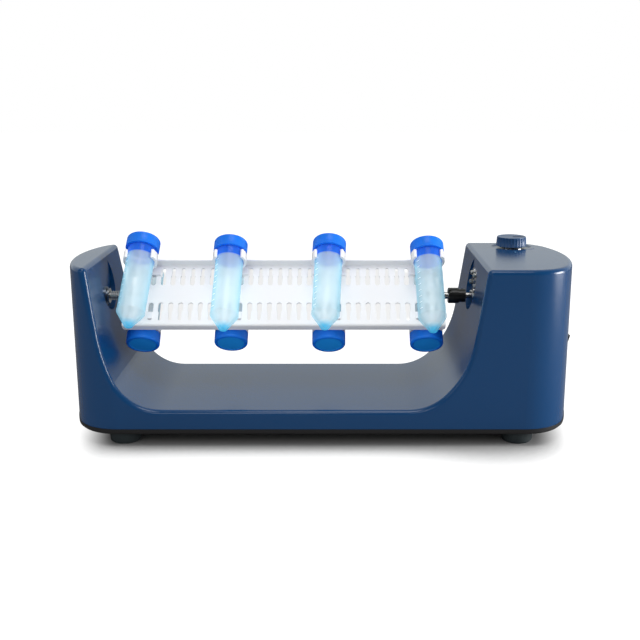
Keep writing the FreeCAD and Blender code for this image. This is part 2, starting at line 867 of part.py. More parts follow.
def idler_stub():
    """Left stub shaft: tongue behind the plate, collar that seats the spring, long tail."""
    tail = rod_x(idler_diameter, left_floor - idler_tail, plate_left)
    collar = rod_x(idler_collar_diameter, collar_left, plate_left)
    tongue = rod_x(stub_diameter, plate_left, plate_left + stub_tongue)
    tongue = tongue.cut(stub_tongue_cut(plate_left, plate_left + stub_tongue + 1))
    stub = fused([tail, collar, tongue])
    return rotor_placed(stub.cut(stub_screw_holes()))


def stub_screws():
    screws = []
    for x in stub_screw_places():
        screw = pan_head_screw(2.5, rotor_sheet + stub_diameter / 2, 4.6, 1.8, 1.5)
        screw.rotate(Vector(), X_AXIS, 90)
        screw.translate(Vector(x, rotor_front, 0))
        screws.append(screw)
    return rotor_placed(group(screws))


def return_spring():
    """Open-coiled compression spring round the idler stub."""
    pitch = (spring_length - spring_wire) / spring_turns
    helix = Part.makeHelix(pitch, pitch * spring_turns, (spring_diameter - spring_wire) / 2)
    start = Vector((spring_diameter - spring_wire) / 2, 0, 0)
    section = Part.Wire(Part.makeCircle(spring_wire / 2, start, Vector(0, 1, 0)))
    coil = Part.Wire(helix.Edges).makePipeShell([section], True, True)
    return aim_x(coil, washer_right + spring_wire / 2, 0, axis_height)


def idler_bush():
    """Flanged bush screwed through the left pocket floor."""
    body = turned_profile([(0, 0), (bush_shank_diameter / 2, 0),
                           (bush_shank_diameter / 2, bush_shank_length),
                           (bush_head_diameter / 2, bush_shank_length),
                           (bush_head_diameter / 2, bush_shank_length + bush_head_length),
                           (bush_nose_diameter / 2, bush_shank_length + bush_head_length),
                           (bush_nose_diameter / 2, bush_shank_length + bush_head_length + bush_nose_length),
                           (0, bush_shank_length + bush_head_length + bush_nose_length)])
    body = aim_x(body, left_floor - bush_shank_length, 0, axis_height)
    return body.cut(rod_x(idler_diameter + 2 * idler_bore_clearance, left_floor - bush_shank_length - 1,
                          washer_left + 1, 0, axis_height))


def bush_nut():
    nut = aim_x(hexagon(bush_nut_flats, bush_nut_length), left_floor - pocket_floor - bush_nut_length, 0, axis_height)
    return nut.cut(rod_x(bush_shank_diameter, left_floor - 3 * wall, left_floor, 0, axis_height))


def spring_washer():
    disc = rod_x(spring_washer_diameter, washer_left, washer_right, 0, axis_height)
    return disc.cut(rod_x(idler_diameter + 2 * clearance_hole, washer_left - 1, washer_right + 1, 0, axis_height))


# Tubes, caps and clips, built for the front of the plate with the plate's middle at y = 0

def tube_places():
    """Tube centres along the plate: the outer two are symmetrical, the inner two are not."""
    first = plate_left + tube_end_margin
    second = first + tube_inner_gaps[0]
    third = second + tube_inner_gaps[1]
    return [first, second, third, plate_right - tube_end_margin]


def on_plate(shape, x, slip, rear):
    """Put a front piece at its place on the plate, or turn it over onto the back."""
    placed = shape.copy()
    placed.translate(Vector(x, 0, slip))
    if rear:
        placed.rotate(Vector(), X_AXIS, 180)
    placed.translate(Vector(0, rotor_middle, 0))
    return rotor_placed(placed)


def tube():
    outside = tube_diameter / 2
    inside = outside - tube_wall
    tip_inside = tube_tip_radius - tube_wall
    shape = turned_profile([(0, tube_cone_end), (tube_tip_radius * 0.6, tube_cone_end),
                            (tube_tip_radius, tube_cone_end + 1.6), (outside, tube_cone_start),
                            (outside, tube_top), (inside, tube_top), (inside, tube_cone_start),
                            (tip_inside, tube_cone_end + 2.4), (0, tube_cone_end + 2.0)])
    shape.translate(Vector(0, -tube_axis_gap, 0))
    return shape


def ribbed_ring(outer, depth, count, z_start, z_end):
    """Prism whose outline is a ring of shallow vertical ribs."""
    points = []
    for k in range(2 * count):
        radius = outer if k % 2 else outer - depth
        angle = k * math.pi / count
        points.append(Vector(radius * math.cos(angle), radius * math.sin(angle), z_start))
    return polygon_face(points).extrude(Vector(0, 0, z_end - z_start))


def cap():
    """Ribbed screw cap over the tube's mouth."""
    radius = cap_diameter / 2
    bottom = tube_top + cap_lid - cap_height
    top = tube_top + cap_lid
    skirt = ribbed_ring(radius, cap_rib_depth, cap_rib_count, bottom, top - 1.4)
    crown = turned_profile([(0, top - 1.5), (radius - cap_rib_depth, top - 1.5),
                            (radius - cap_rib_depth, top - 1.2), (radius - 1.6, top),
                            (radius - cap_dish_margin, top), (radius - cap_dish_margin - 0.4, top - cap_dish_depth),
                            (0, top - cap_dish_depth)])
    bore = rod_z(tube_diameter + 2 * cap_skirt_clearance, bottom - 1, tube_top)
    shape = fused([skirt, crown]).cut(bore)
    shape.translate(Vector(0, -tube_axis_gap, 0))
    return shape


def clip():
    """C-shaped snap clip on a foot with two hooks for the keyhole slots."""
    inner = tube_diameter / 2 + clip_clearance
    outer = inner + clip_wall
    low = clip_centre - clip_length / 2
    high = clip_centre + clip_length / 2
    wrap = math.radians(clip_wrap_deg)
    face = -rotor_sheet / 2
    ring = rod_z(2 * outer, low, high, 0, -tube_axis_gap).cut(rod_z(2 * inner, low - 1, high + 1, 0, -tube_axis_gap))
    mouth_y = -tube_axis_gap - (inner + clip_wall / 2) * math.sin(wrap)
    ring = ring.cut(box((-outer - 1, outer + 1), (mouth_y - 2 * outer, mouth_y), (low - 1, high + 1)))
    pieces = [ring]
    for side in (-1, 1):
        x = side * (inner + clip_wall / 2) * math.cos(wrap)
        pieces.append(rod_z(clip_wall * 1.35, low, high, x, mouth_y))
    web = box((-clip_web_width / 2, clip_web_width / 2), (-tube_axis_gap, face), (low, high))
    foot_plate = box((-clip_foot_width / 2, clip_foot_width / 2), (face - clip_foot_thickness, face), (low, high))
    body = fused(pieces + [web, foot_plate])
    body = body.cut(rod_z(2 * inner, low - 1, high + 1, 0, -tube_axis_gap))
    hooks = []
    for side in (-1, 1):
        x = side * clip_hook_span / 2
        neck_top = slot_outer - slot_narrow / 2
        neck = box((x - clip_hook_neck / 2, x + clip_hook_neck / 2),
                   (face - 0.5, -face + hook_play + clip_hook_thickness),
                   (neck_top - clip_hook_neck_length, neck_top))
        head = box((x - clip_hook_head / 2, x + clip_hook_head / 2),
                   (-face + hook_play, -face + hook_play + clip_hook_thickness),
                   (neck_top - clip_hook_head_length, neck_top))
        hooks.extend([neck, head])
    return fused([body] + hooks)


# Knob and potentiometer

def speed_knob():
    """Ribbed knob with a slight taper, hollow below, with an indicator groove on top."""
    bottom_radius = knob_diameter / 2
    top_radius = knob_top_diameter / 2
    blank = ribbed_ring(bottom_radius, knob_rib_depth, knob_rib_count, 0, knob_height)
    taper = turned_profile([(0, 0), (bottom_radius, 0), (top_radius, knob_height - 0.8),
                            (top_radius - 0.8, knob_height), (0, knob_height)])
    body = blank.common(taper)
    inner = bottom_radius - knob_skirt_wall
    ceiling = knob_height - knob_top_thickness
    hub_bottom = pot_nut_height + 1.4
    hollow = turned_profile([(knob_hub_diameter / 2, hub_bottom), (knob_hub_diameter / 2, ceiling),
                             (inner - 0.6, ceiling), (inner, -1), (0, -1), (0, hub_bottom)])
    line = box((1.5, top_radius - 1.2), (-knob_line_width / 2, knob_line_width / 2),
               (knob_height - knob_line_depth, knob_height + 1))
    body = body.cut([hollow, line, rod_z(pot_shaft_diameter + 0.04, -1, ceiling)])
    body.translate(Vector(knob_x, knob_y, dish_floor + knob_lift))
    return body


def pot_shaft():
    bottom = dish_floor + pot_bush_rise + 0.02
    top = dish_floor + knob_lift + knob_height - knob_top_thickness
    return rod_z(pot_shaft_diameter, bottom, top, knob_x, knob_y)


def pot_body():
    """Potentiometer case with its threaded bush up through the tower's top."""
    under = tower_top - wall
    case = rod_z(pot_body_diameter, under - pot_body_length, under, knob_x, knob_y)
    bush = rod_z(pot_bush_diameter, under - 1, dish_floor + pot_bush_rise, knob_x, knob_y)
    lugs = box((knob_x - 6, knob_x + 6), (knob_y + pot_body_diameter / 2 - 1, knob_y + pot_body_diameter / 2 + 5),
               (under - pot_body_length + 1, under - pot_body_length + 2))
    return fused([case, bush, lugs])


def pot_nut():
    """Nut and washer that hold the potentiometer in the tower's top."""
    nut = hexagon(pot_nut_flats, pot_nut_height)
    nut.translate(Vector(knob_x, knob_y, dish_floor + pot_washer_thickness))
    disc = rod_z(pot_washer_diameter, dish_floor, dish_floor + pot_washer_thickness, knob_x, knob_y)
    hole = rod_z(pot_bush_diameter, dish_floor - 1, tower_top + 5, knob_x, knob_y)
    return group([nut.cut(hole), disc.cut(hole)])


# Rocker switch, power inlet and control board

def switch_body():
    """Snap-in switch case: flange outside, well for the rocker, body inside the wall."""
    flange = box((switch_seat, switch_face), (-switch_flange_width / 2, switch_flange_width / 2),
                 (switch_height - switch_flange_height / 2, switch_height + switch_flange_height / 2))
    upright = [edge for edge in flange.Edges if edge.Length < switch_flange_thickness + 0.01]
    flange = flange.makeFillet(1.5, upright)
    case = box((switch_seat - switch_body_depth, switch_seat), (-switch_body_width / 2, switch_body_width / 2),
               (switch_height - switch_body_height / 2, switch_height + switch_body_height / 2))
    well_width = switch_body_width / 2 - switch_frame
    well_height = switch_body_height / 2 - switch_frame
    well = box((switch_face - switch_well_depth, switch_face + 1), (-well_width, well_width),
               (switch_height - well_height, switch_height + well_height))
    blades = []
    for z in (-5.0, 5.0):
        blades.append(box((switch_seat - switch_body_depth - 7, switch_seat - switch_body_depth),
                          (-2.4, 2.4), (switch_height + z - 0.4, switch_height + z + 0.4)))
    bearing = rocker_pin(rocker_pin_diameter / 2 + rocker_pin_clearance, rocker_pin_engagement + rocker_play)
    return fused([flange, case] + blades).cut([well, bearing])


def rocker_pivot_x():
    return switch_face - rocker_pivot_depth


def rocker_pin(radius, reach):
    half = switch_body_width / 2 - switch_frame + reach
    return rod_y(2 * radius, -half, half, rocker_pivot_x(), switch_height)


def rocker():
    """Shallow V-faced rocker on two pins, resting with its upper half out."""
    half_height = switch_body_height / 2 - switch_frame - rocker_play
    half_width = switch_body_width / 2 - switch_frame - rocker_play
    tilt = math.radians(rocker_tilt_deg)
    crown = (rocker_crown + rocker_pivot_depth - half_height * math.sin(tilt)) / math.cos(tilt)
    waist = crown - half_height * math.tan(tilt)
    upper = [Vector(waist, 0, 0), Vector(crown, 0, half_height), Vector(0.3, 0, half_height), Vector(-2.2, 0, 3.0)]
    lower = [Vector(p.x, 0, -p.z) for p in upper[:0:-1]]
    shape = polygon_face(upper + lower).extrude(Vector(0, 2 * half_width, 0))
    shape.translate(Vector(0, -half_width, 0))
    shape.rotate(Vector(), Y_AXIS, rocker_tilt_deg)
    shape.translate(Vector(rocker_pivot_x(), 0, switch_height))
    return fused([shape, rocker_pin(rocker_pin_diameter / 2, rocker_pin_engagement)])


def power_inlet():
    """Round panel socket seated flush in the back wall."""
    flange = rod_y(inlet_flange_diameter - 0.2, half_depth - inlet_flange_thickness, half_depth, inlet_x, inlet_height)
    body = rod_y(inlet_body_diameter, half_depth - inlet_body_length, half_depth, inlet_x, inlet_height)
    bore = rod_y(inlet_bore, half_depth - inlet_bore_depth, half_depth + 1, inlet_x, inlet_height)
    return fused([flange, body]).cut(bore)


def inlet_metal():
    """Centre pin of the socket and the nut behind the wall."""
    pin = rod_y(inlet_pin_diameter, half_depth - inlet_bore_depth, half_depth - 1.5, inlet_x, inlet_height)
    nut = hexagon(inlet_nut_flats, inlet_nut_length)
    nut.rotate(Vector(), X_AXIS, 90)
    nut.translate(Vector(inlet_x, half_depth - 2 * wall, inlet_height))
    hole = rod_y(inlet_body_diameter, half_depth - 4 * wall, half_depth, inlet_x, inlet_height)
    return group([pin, nut.cut(hole)])


board_bottom = shell_bottom + board_standoff


def board_corners():
    x = board_length / 2 - board_hole_margin
    y = board_width / 2 - board_hole_margin
    return [(board_x + sx * x, sy * y) for sx in (-1, 1) for sy in (-1, 1)]


def control_board():
    board = box((board_x - board_length / 2, board_x + board_length / 2), (-board_width / 2, board_width / 2),
                (board_bottom, board_bottom + board_thickness))
    return board.cut([rod_z(board_screw_diameter + 0.2, board_bottom - 1, board_bottom + 3, x, y)
                      for x, y in board_corners()])


def board_parts():
    """Capacitor, terminal block and finned heat sink standing on the board."""
    top = board_bottom + board_thickness
    can = rod_z(capacitor_diameter, top, top + capacitor_height,
                board_x + capacitor_place[0], capacitor_place[1])
    block = Part.makeBox(*terminal_block, Vector(board_x + terminal_block_left,
                                                 terminal_block_margin - board_width / 2, top))
    length, width, height = heat_sink
    left = board_x + heat_sink_place[0]
    front = heat_sink_place[1]
    sink = Part.makeBox(length, width, height, Vector(left, front, top))
    pitch = length / heat_sink_fins
    for k in range(heat_sink_fins - 1):
        x = left + (k + 0.75) * pitch
        sink = sink.cut(Part.makeBox(pitch / 2, width, height, Vector(x, front + heat_sink_web, top)))
    return group([can, block, sink])


def board_fixings():
    """Four standoffs under the board and the screws into them."""
    fixings = []
    for x, y in board_corners():
        post = rod_z(board_standoff_diameter, shell_bottom, board_bottom, x, y)
        fixings.append(post.cut(rod_z(board_screw_diameter, shell_bottom + 1, board_bottom + 1, x, y)))
        screw = pan_head_screw(board_screw_diameter, board_standoff, board_screw_head,
                               board_screw_head_height, 2.0)
        screw.translate(Vector(x, y, board_bottom + board_thickness))
        fixings.append(screw)
    return group(fixings)


os.makedirs("parts", exist_ok=True)

save("housing", housing())
save("base_plate", base_plate())
save("base_screws", base_screws())
for name, (x, y) in zip(("front_left", "front_right", "rear_left", "rear_right"), foot_points()):
    save(f"foot_{name}", foot(x, y))
save("gearhead_case", gearhead_case())
save("motor_can", motor_can())
save("motor_end_cap", motor_end_cap())
save("motor_terminals", motor_terminals())
save("motor_screws", motor_screws())
save("motor_washers", motor_washers())
save("drive_shaft", drive_shaft())
save("coupling", coupling())
save("grub_screw", grub_screw())
save("rotor_plate", rotor_plate())
save("drive_stub", drive_stub())
save("drive_pin", drive_pin())
save("idler_stub", idler_stub())
save("stub_screws", stub_screws())
save("return_spring", return_spring())
save("idler_bush", idler_bush())
save("bush_nut", bush_nut())
save("spring_washer", spring_washer())
for rear, side, slips in ((False, "front", front_slip), (True, "rear", rear_slip)):
    for number, (x, slip) in enumerate(zip(tube_places(), slips), start=1):
        save(f"tube_{side}_{number}", on_plate(tube(), x, slip, rear))
        save(f"cap_{side}_{number}", on_plate(cap(), x, slip, rear))
        save(f"clip_{side}_{number}", on_plate(clip(), x, 0, rear))
save("speed_knob", speed_knob())
save("pot_shaft", pot_shaft())
save("pot_body", pot_body())
save("pot_nut", pot_nut())
save("switch_body", switch_body())
save("rocker", rocker())
save("power_inlet", power_inlet())
save("inlet_metal", inlet_metal())
save("control_board", control_board())
save("board_parts", board_parts())
save("board_fixings", board_fixings())
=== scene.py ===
import bpy
import math
from mathutils import Matrix, Vector


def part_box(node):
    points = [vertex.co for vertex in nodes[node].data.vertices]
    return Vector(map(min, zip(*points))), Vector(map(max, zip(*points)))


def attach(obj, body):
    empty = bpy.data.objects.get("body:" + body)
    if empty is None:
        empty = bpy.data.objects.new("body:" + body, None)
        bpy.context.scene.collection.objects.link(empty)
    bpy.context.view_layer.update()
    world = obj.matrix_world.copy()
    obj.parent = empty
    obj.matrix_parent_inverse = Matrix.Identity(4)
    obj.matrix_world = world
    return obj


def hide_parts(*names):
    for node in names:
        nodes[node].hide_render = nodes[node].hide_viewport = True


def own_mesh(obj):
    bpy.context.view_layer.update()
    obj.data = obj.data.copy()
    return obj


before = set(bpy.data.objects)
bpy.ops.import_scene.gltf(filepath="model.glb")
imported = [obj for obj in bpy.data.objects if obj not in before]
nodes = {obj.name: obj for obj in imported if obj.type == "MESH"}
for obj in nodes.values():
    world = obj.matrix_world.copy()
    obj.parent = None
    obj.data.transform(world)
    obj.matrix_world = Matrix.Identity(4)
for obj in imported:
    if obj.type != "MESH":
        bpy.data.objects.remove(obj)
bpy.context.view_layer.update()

# Camera
# The photograph looks at the front from a little above, square to the rotor, with the
# optical axis slightly left of the picture's own middle.
look_down = 13.811
picture_width = 640
axis_offset = 15
bpy.ops.object.select_all(action="DESELECT")
bpy.ops.object.camera_add(location=(0.01105, -0.9597, 0.342),
                          rotation=(math.radians(90 - look_down), 0, 0))
camera = bpy.context.object
camera.name = "camera"
camera.data.lens = 54.0
camera.data.sensor_width = 36.0
camera.data.shift_x = -axis_offset / picture_width
camera.data.clip_start = 0.02
camera.data.clip_end = 40.0
bpy.context.scene.camera = camera

# Studio floor, world and lamps
# A pale table top that burns out to white, with a painted soft dark shadow under the base and a
# painted pale grey shadow well behind the plate, so that the slots show grey. The backdrop is
# pale, with softboxes overhead, in front and at both ends.


def add(tree, kind, values=None, **settings):
    """Add a shader node with its settings and the values of its inputs, by name or number."""
    node = tree.nodes.new(kind)
    for name, setting in settings.items():
        setattr(node, name, setting)
    for socket, value in (values or {}).items():
        node.inputs[socket].default_value = value
    return node


def link(tree, *pairs):
    """Link outputs to inputs, given as pairs of sockets."""
    for output, target in pairs:
        tree.links.new(output, target)


def new_finish(name):
    """A new material and its node tree."""
    finish = bpy.data.materials.new(name)
    finish.use_nodes = True
    return finish, finish.node_tree


def oblong(tree, place, location, scale, fade):
    """Fade across the edge of a rounded oblong on the table, whose rim lies at 1."""
    spot = add(tree, "ShaderNodeMapping", {"Location": location, "Scale": scale})
    square = add(tree, "ShaderNodeVectorMath", operation="MULTIPLY")
    reach = add(tree, "ShaderNodeVectorMath", operation="LENGTH")
    edge = add(tree, "ShaderNodeMapRange", fade, interpolation_type="SMOOTHSTEP")
    link(tree,
         (place.outputs["Object"], spot.inputs["Vector"]),
         (spot.outputs[0], square.inputs[0]),
         (spot.outputs[0], square.inputs[1]),
         (square.outputs[0], reach.inputs[0]),
         (reach.outputs["Value"], edge.inputs["Value"]))
    return edge.outputs[0]


floor_size = 12
full_glow = 0.95
bpy.ops.mesh.primitive_plane_add(size=floor_size, location=(0, 0, 0))
floor = bpy.context.object
floor.name = "studio_floor"
floor_finish, tree = new_finish("floor_white")
tree.nodes.clear()
floor_place = add(tree, "ShaderNodeTexCoord")
floor_rays = add(tree, "ShaderNodeLightPath")
# Painted shadow: an occlusion measure dims the floor's glow near the body, and the rim oblong
# keeps it to the base's footprint.
painted_shadow_ao = add(tree, "ShaderNodeAmbientOcclusion", {"Distance": 0.10}, samples=12)
painted_shadow_fade = add(tree, "ShaderNodeMapRange",
                 {"From Min": 0.50, "From Max": 0.96, "To Max": full_glow},
                 interpolation_type="SMOOTHSTEP")
shadow_rim = oblong(tree, floor_place, location=(0.0, 0.0, 0.0), scale=(4.0, 6.4, 0.0),
                    fade={"From Min": 0.70, "From Max": 1.02, "To Max": full_glow})
# Painted shadow: a pale grey patch on the table well behind the plate, seen through the slots.
painted_shadow_patch = oblong(tree, floor_place, location=(0.289, -2.6, 0.0), scale=(3.5, 4.1, 0.0),
                    fade={"From Min": 0.72, "From Max": 0.95, "To Min": 0.66, "To Max": 1.0})
outside_shadow = add(tree, "ShaderNodeMath", operation="MAXIMUM")
floor_tone = add(tree, "ShaderNodeMath", operation="MULTIPLY")
floor_seen = add(tree, "ShaderNodeMath", {1: 0.6}, operation="MULTIPLY_ADD")
floor_strength = add(tree, "ShaderNodeMath", operation="MULTIPLY")
floor_glow = add(tree, "ShaderNodeEmission")
floor_paint = add(tree, "ShaderNodeBsdfDiffuse", {"Color": (0.25, 0.25, 0.25, 1)})
floor_sum = add(tree, "ShaderNodeAddShader")
floor_out = add(tree, "ShaderNodeOutputMaterial")
link(tree,
     (painted_shadow_ao.outputs["AO"], painted_shadow_fade.inputs["Value"]),
     (painted_shadow_fade.outputs[0], outside_shadow.inputs[0]),
     (shadow_rim, outside_shadow.inputs[1]),
     (outside_shadow.outputs[0], floor_tone.inputs[0]),
     (painted_shadow_patch, floor_tone.inputs[1]),
     (floor_rays.outputs["Is Diffuse Ray"], floor_seen.inputs[0]),
     (floor_rays.outputs["Is Camera Ray"], floor_seen.inputs[2]),
     (floor_tone.outputs[0], floor_strength.inputs[0]),
     (floor_seen.outputs[0], floor_strength.inputs[1]),
     (floor_strength.outputs[0], floor_glow.inputs["Strength"]),
     (floor_paint.outputs[0], floor_sum.inputs[0]),
     (floor_glow.outputs[0], floor_sum.inputs[1]),
     (floor_sum.outputs[0], floor_out.inputs["Surface"]))
floor.data.materials.append(floor_finish)

room_light = 0.66
background_white = 1.0
world = bpy.data.worlds.new("studio")
bpy.context.scene.world = world
world.use_nodes = True
tree = world.node_tree
tree.nodes.clear()
sky_rays = add(tree, "ShaderNodeLightPath")
sky_way = add(tree, "ShaderNodeTexCoord")
sky_split = add(tree, "ShaderNodeSeparateXYZ")
backdrop = add(tree, "ShaderNodeMapRange",
               {"From Min": -0.35, "From Max": 0.75, "To Min": 0.025, "To Max": 0.90},
               interpolation_type="SMOOTHSTEP")
glossy_or_not = add(tree, "ShaderNodeMix", {2: room_light})
seen = add(tree, "ShaderNodeMath", operation="MAXIMUM")
white_or_not = add(tree, "ShaderNodeMix", {3: background_white})
mirror_tint = add(tree, "ShaderNodeMixRGB",
                  {"Color1": (1, 1, 1, 1), "Color2": (0.93, 0.97, 0.93, 1)})
sky = add(tree, "ShaderNodeBackground")
sky_out = add(tree, "ShaderNodeOutputWorld")
link(tree,
     (sky_way.outputs["Generated"], sky_split.inputs[0]),
     (sky_split.outputs["Y"], backdrop.inputs["Value"]),
     (sky_rays.outputs["Is Glossy Ray"], glossy_or_not.inputs[0]),
     (backdrop.outputs[0], glossy_or_not.inputs[3]),
     (sky_rays.outputs["Is Camera Ray"], seen.inputs[0]),
     (sky_rays.outputs["Is Transmission Ray"], seen.inputs[1]),
     (seen.outputs[0], white_or_not.inputs[0]),
     (glossy_or_not.outputs[0], white_or_not.inputs[2]),
     (white_or_not.outputs[0], sky.inputs["Strength"]),
     (sky_rays.outputs["Is Glossy Ray"], mirror_tint.inputs["Fac"]),
     (mirror_tint.outputs["Color"], sky.inputs["Color"]),
     (sky.outputs[0], sky_out.inputs["Surface"]))

for lamp_name, place, aim, size, power in (
        ("softbox_top", (0.1, -0.45, 1.5), (0, 0, 0.1), 0.7, 7.0),
        ("softbox_front", (-0.3, -1.8, 1.2), (0, 0, 0.1), 0.6, 3.5),
        ("softbox_left", (-1.6, -1.1, 0.9), (0, 0, 0.1), 0.7, 2.5),
        ("softbox_right", (1.3, -0.15, 0.26), (0.1, 0, 0.12), 0.5, 17.0)):
    bpy.ops.object.light_add(type="AREA", location=place)
    lamp = bpy.context.object
    lamp.name = lamp_name
    lamp.data.size = size
    lamp.data.energy = power
    lamp.rotation_euler = (Vector(aim) - Vector(place)).to_track_quat("-Z", "Y").to_euler()

# Base plate
# A thick flat bottom with a bevelled lower edge, sprayed satin black and screwed up into
# bosses in the housing.


def surface(name, colour, roughness, metallic=0.0, speck=900.0, depth=0.02, shade=0.06,
            specular=0.5):
    """A finish whose fine grain breaks up its gloss and relief, with a slow drift in its tone."""
    finish, tree = new_finish(name)
    skin = tree.nodes["Principled BSDF"]
    skin.inputs["Metallic"].default_value = metallic
    skin.inputs["Specular IOR Level"].default_value = specular
    darker = [c * (1 - shade) for c in colour]
    lighter = [min(c * (1 + shade), 1.0) for c in colour]
    place = add(tree, "ShaderNodeTexCoord")
    grain = add(tree, "ShaderNodeTexNoise", {"Scale": speck, "Detail": 4.0})
    drift = add(tree, "ShaderNodeTexNoise", {"Scale": 9.0, "Detail": 2.0})
    tone = add(tree, "ShaderNodeMixRGB", {"Color1": (*darker, 1), "Color2": (*lighter, 1)})
    sheen = add(tree, "ShaderNodeMapRange",
                {"To Min": roughness * 0.85, "To Max": min(roughness * 1.15, 1.0)})
    relief = add(tree, "ShaderNodeBump", {"Strength": depth, "Distance": 0.0003})
    link(tree,
         (place.outputs["Object"], grain.inputs["Vector"]),
         (place.outputs["Object"], drift.inputs["Vector"]),
         (drift.outputs["Fac"], tone.inputs["Fac"]),
         (tone.outputs["Color"], skin.inputs["Base Color"]),
         (grain.outputs["Fac"], sheen.inputs["Value"]),
         (sheen.outputs[0], skin.inputs["Roughness"]),
         (grain.outputs["Fac"], relief.inputs["Height"]),
         (relief.outputs["Normal"], skin.inputs["Normal"]))
    return finish


def dress(finish, *names):
    """Give CAD nodes their finish."""
    for name in names:
        for spot in nodes[name].material_slots:
            spot.material = finish


black_spray = surface("black_spray", (0.012, 0.012, 0.013), 0.5, speck=1400.0, depth=0.08,
                      specular=0.3)
dress(black_spray, "base_plate")
zinc = surface("zinc_plated", (0.34, 0.34, 0.33), 0.3, metallic=1.0, speck=2500.0)
dress(zinc, "base_screws")

# Feet
# Four moulded rubber feet, each held by a pan-head screw sunk in its underside. The rubber
# is matt with a slight bloom.
foot_rubber = surface("foot_rubber", (0.018, 0.026, 0.029), 0.6, speck=1800.0, depth=0.15,
                      shade=0.25, specular=0.3)
dress(foot_rubber, "foot_front_left", "foot_front_right", "foot_rear_left", "foot_rear_right")

# Housing
# One moulded shell, sprayed deep blue and lacquered: U-shaped gap, two round pockets and a
# dish for the knob. The lacquer has a faint orange peel.
housing_blue = surface("housing_blue", (0.0020, 0.038, 0.120), 0.22, speck=260.0, depth=0.008,
                       shade=0.03, specular=0.42)
dress(housing_blue, "housing")

# Gearhead, motor and control board
# The drive sits inside the right tower: a die-cast gearhead, a steel can with a plastic end
# and a small green board. Only the screws and washers of the gearhead show in the pocket.
die_cast = surface("die_cast", (0.45, 0.45, 0.46), 0.42, metallic=1.0, speck=1200.0, depth=0.1)
dress(die_cast, "gearhead_case")
dress(surface("motor_steel", (0.5, 0.5, 0.52), 0.28, metallic=1.0), "motor_can", "pot_body")
dress(surface("black_moulding", (0.015, 0.015, 0.016), 0.45, speck=1600.0, depth=0.08),
      "motor_end_cap", "power_inlet", "board_parts")
dress(surface("brass", (0.62, 0.42, 0.16), 0.3, metallic=1.0), "motor_terminals", "inlet_metal")
dress(surface("solder_mask", (0.012, 0.09, 0.04), 0.35, speck=700.0), "control_board")
dress(zinc, "board_fixings", "motor_screws")
bright_washer = surface("bright_washer", (0.5, 0.5, 0.5), 0.22, metallic=1.0, speck=2500.0)
dress(bright_washer, "motor_washers", "pot_nut", "spring_washer")

# Rocker switch
# A snap-in power switch low on the right-hand end: a satin black frame and a glossier black
# rocker with its upper half standing out.
dress(surface("switch_frame", (0.012, 0.012, 0.013), 0.4, speck=1500.0, depth=0.08), "switch_body")
dress(surface("switch_rocker", (0.016, 0.016, 0.018), 0.2, speck=1500.0), "rocker")

# Speed knob
# A moulded blue knob with fine grip ribs round its side, a shallow dished top and a dark
# inlaid pointer; it is pushed on the potentiometer's shaft.


def drawn_up(name, columns, rings):
    """A turned form, drawn ring by ring from the first (radius, height), with closed ends."""
    bpy.ops.object.select_all(action="DESELECT")
    radius, height = rings[0]
    bpy.ops.mesh.primitive_circle_add(vertices=columns, radius=radius, location=(0, 0, 0))
    piece = bpy.context.object
    piece.name = name
    piece.data.name = name
    bpy.ops.object.mode_set(mode="EDIT")
    bpy.ops.mesh.select_mode(type="VERT")
    bpy.ops.mesh.select_all(action="SELECT")
    bpy.ops.transform.translate(value=(0, 0, height))
    for next_radius, next_height in rings[1:]:
        step = {"value": (0, 0, next_height - height)}
        bpy.ops.mesh.extrude_region_move(TRANSFORM_OT_translate=step)
        ratio = next_radius / radius
        bpy.ops.transform.resize(value=(ratio, ratio, 1), center_override=(0, 0, next_height))
        radius, height = next_radius, next_height
    bpy.ops.mesh.select_all(action="DESELECT")
    bpy.ops.mesh.select_non_manifold()
    bpy.ops.mesh.fill_holes(sides=0)
    bpy.ops.mesh.select_all(action="SELECT")
    bpy.ops.mesh.normals_make_consistent(inside=False)
    bpy.ops.object.mode_set(mode="OBJECT")
    bpy.ops.object.shade_smooth_by_angle(angle=math.radians(32))
    return piece


def pick(piece, wanted):
    """Open a piece for editing with only the wanted points picked."""
    bpy.ops.object.select_all(action="DESELECT")
    bpy.context.view_layer.objects.active = piece
    piece.select_set(True)
    bpy.ops.object.mode_set(mode="EDIT")
    bpy.ops.mesh.select_mode(type="VERT")
    bpy.ops.mesh.select_all(action="DESELECT")
    bpy.ops.object.mode_set(mode="OBJECT")
    for v in piece.data.vertices:
        v.select = wanted(v.co)
    bpy.ops.object.mode_set(mode="EDIT")


def groove(piece, low, high, inside, columns, run, depth):
    """Press every second run of columns inwards, between two heights and outside a radius."""
    def in_groove(co):
        turn = round(math.atan2(co.y, co.x) / (2 * math.pi) * columns)
        return low < co.z < high and co.xy.length > inside and turn % (2 * run) < run

    pick(piece, in_groove)
    bpy.ops.transform.resize(value=(1 - depth, 1 - depth, 1), center_override=(0, 0, 0))
    bpy.ops.object.mode_set(mode="OBJECT")


def put(piece, place):
    """Set a finished piece down and fix its place in its mesh."""
    bpy.ops.object.select_all(action="DESELECT")
    bpy.context.view_layer.objects.active = piece
    piece.select_set(True)
    piece.matrix_world = place
    bpy.ops.object.transform_apply(location=True, rotation=True, scale=True)


